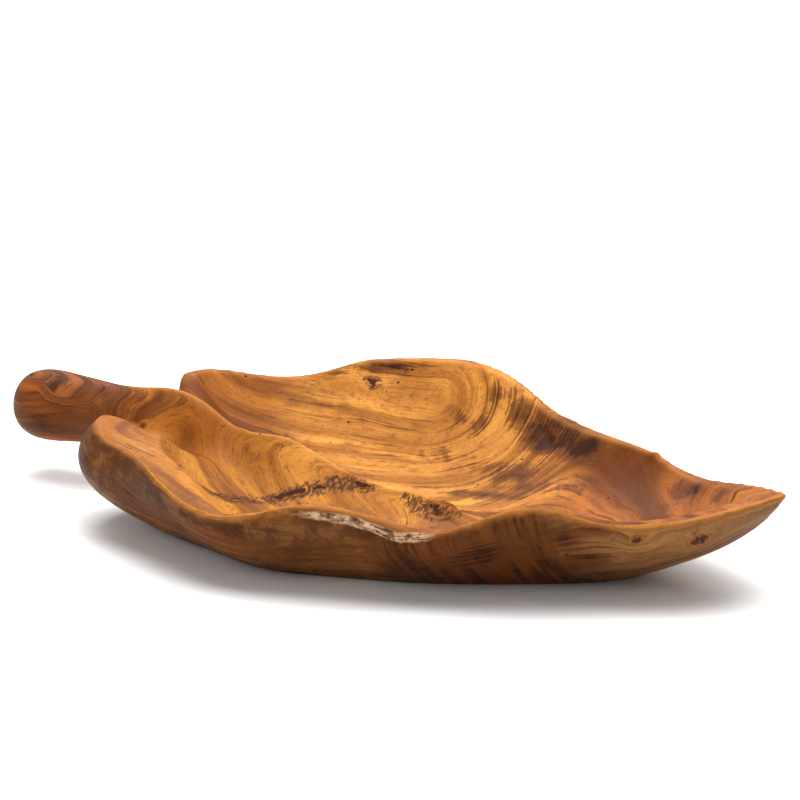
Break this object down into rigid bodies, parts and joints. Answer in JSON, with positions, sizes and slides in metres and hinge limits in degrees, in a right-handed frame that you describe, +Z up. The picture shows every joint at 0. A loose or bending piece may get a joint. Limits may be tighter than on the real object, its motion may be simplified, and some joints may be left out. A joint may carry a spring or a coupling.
{
  "type": "carved wooden bowl",
  "caption": "Shallow leaf-shaped serving bowl carved from one piece of root wood, with a wavy rim, a raised sharp midrib and a thick stem handle.",
  "frame": {"origin": "on the flat foot, near the middle of the bowl's whole length and on the line of its midrib", "axes": "+X along the midrib towards the leaf's tip, +Y towards the high wall, +Z up"},
  "size_m": [0.5508, 0.2955, 0.0797],
  "materials": {
    "root_wood": "smooth carved and oiled, satin",
    "ingrown_bark": "rough, dry, dark",
    "dead_knot": "hard, dark, end grain"
  },
  "bodies": {
    "root": {"leaf_bowl": "root_wood", "bark_seam": "ingrown_bark", "tail_bark": "ingrown_bark", "wall_knot": "dead_knot", "tip_knot": "dead_knot", "flank_knot": "dead_knot"}
  },
  "joints": []
}
